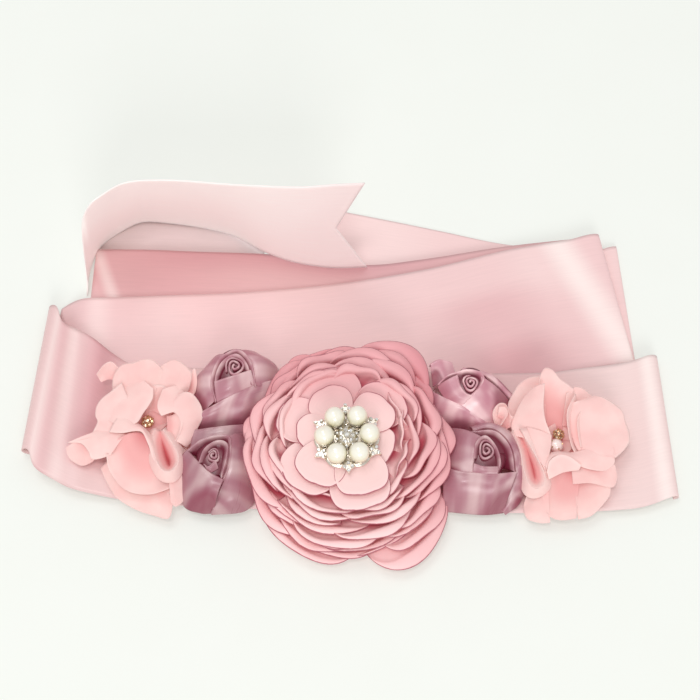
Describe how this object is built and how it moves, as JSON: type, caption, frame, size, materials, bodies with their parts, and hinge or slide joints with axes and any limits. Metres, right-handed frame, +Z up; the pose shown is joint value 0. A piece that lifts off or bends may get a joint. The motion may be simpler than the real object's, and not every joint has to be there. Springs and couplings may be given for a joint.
{
  "type": "bridal belt",
  "caption": "Satin ribbon bridal belt folded on a surface, with a row of fabric flowers and a pearl brooch on its front and a V-cut tail standing behind.",
  "frame": {"origin": "centre of the bounding box's bottom, on the surface that the belt lies on", "axes": "+X along the belt to the wearer's left as the flowers face the viewer, +Y away from the flowers towards the standing tail, +Z up"},
  "size_m": [0.269, 0.1776, 0.068],
  "materials": {
    "ribbon_satin": "soft satin sheen",
    "petal_satin": "matt satin with singed edges",
    "rose_satin": "satin sheen",
    "chiffon": "sheer and matt",
    "pearl": "pearly gloss",
    "rhinestone": "faceted",
    "silver": "polished"
  },
  "bodies": {
    "root": {"ribbon_front": "ribbon_satin", "ribbon_band": "ribbon_satin", "ribbon_third": "ribbon_satin", "ribbon_fourth": "ribbon_satin", "ribbon_tail": "ribbon_satin", "ribbon_hidden_layers": "ribbon_satin", "petals_01": "petal_satin", "petals_02": "petal_satin", "petals_03": "petal_satin", "petals_04": "petal_satin", "petals_05": "petal_satin", "petals_06": "petal_satin", "petals_07": "petal_satin", "petals_08": "petal_satin", "petals_09": "petal_satin", "petals_10": "petal_satin", "petals_11": "petal_satin", "rosette_upper_left": "rose_satin", "rosette_lower_left": "rose_satin", "rosette_upper_right": "rose_satin", "rosette_lower_right": "rose_satin", "chiffon_left_lower": "chiffon", "chiffon_left_upper": "chiffon", "chiffon_right_lower": "chiffon", "chiffon_right_upper": "chiffon", "brooch_plate": "silver", "brooch_pearl_1": "pearl", "brooch_tip_1": "rhinestone", "brooch_pearl_2": "pearl", "brooch_tip_2": "rhinestone", "brooch_pearl_3": "pearl", "brooch_tip_3": "rhinestone", "brooch_pearl_4": "pearl", "brooch_tip_4": "rhinestone", "brooch_pearl_5": "pearl", "brooch_tip_5": "rhinestone", "brooch_pearl_6": "pearl", "brooch_tip_6": "rhinestone", "brooch_cluster": "rhinestone", "left_rhinestone": "rhinestone", "right_rhinestone": "rhinestone", "right_pearl": "pearl"}
  },
  "joints": []
}
